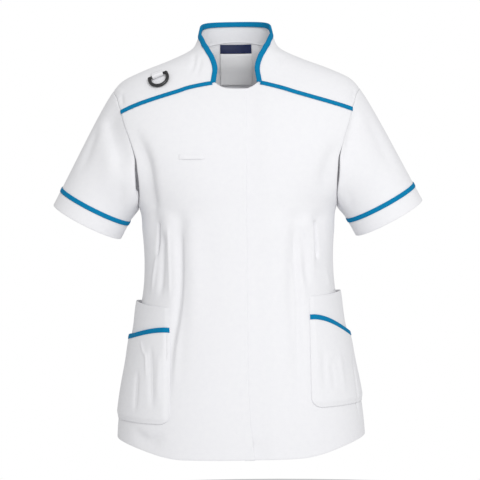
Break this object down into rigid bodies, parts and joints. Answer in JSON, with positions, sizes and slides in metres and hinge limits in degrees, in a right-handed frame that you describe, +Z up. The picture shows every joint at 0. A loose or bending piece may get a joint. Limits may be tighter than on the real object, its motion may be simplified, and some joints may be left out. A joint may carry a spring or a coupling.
{
  "type": "maternity tunic",
  "caption": "Short-sleeved healthcare maternity tunic with stand collar, lapped front, contrast piping, doubled hip pockets and a D-ring on one shoulder.",
  "frame": {"origin": "inside the neck, on the centre line and level with the base of the collar, where the wearer's neck and shoulders hold the garment up", "axes": "+Z up, -Y to the front, +X to the wearer's left"},
  "size_m": [0.6602, 0.3067, 0.7714],
  "materials": {
    "white_cloth": "matt fine twill",
    "blue_trim": "satin twill tape",
    "navy_label": "woven satin",
    "white_label": "matt",
    "black_ring": "semi-gloss"
  },
  "bodies": {
    "tunic": {"front_right": "white_cloth", "front_left": "white_cloth", "back": "white_cloth", "collar_back": "white_cloth", "yoke_right": "white_cloth", "yoke_left": "white_cloth", "sleeve_right": "white_cloth", "sleeve_left": "white_cloth", "cuff_right": "white_cloth", "cuff_left": "white_cloth", "pocket_under_right": "white_cloth", "pocket_under_left": "white_cloth", "pocket_over_right": "white_cloth", "pocket_over_left": "white_cloth", "chest_pocket": "white_cloth", "ring_tab": "white_cloth", "collar_binding": "blue_trim", "yoke_piping_right": "blue_trim", "yoke_piping_left": "blue_trim", "cuff_piping_right": "blue_trim", "cuff_piping_left": "blue_trim", "pocket_piping_right": "blue_trim", "pocket_piping_left": "blue_trim", "label_strip": "navy_label", "label_panel": "white_label"},
    "ring": {"d_ring": "black_ring"}
  },
  "joints": [
    {"name": "ring_swing", "type": "hinge", "parent": "tunic", "child": "ring", "pos_m": [-0.13756, -0.06704, -0.0428], "axis": [-0.9365, 0.013, -0.3504], "range_deg": [0, 150]}
  ]
}
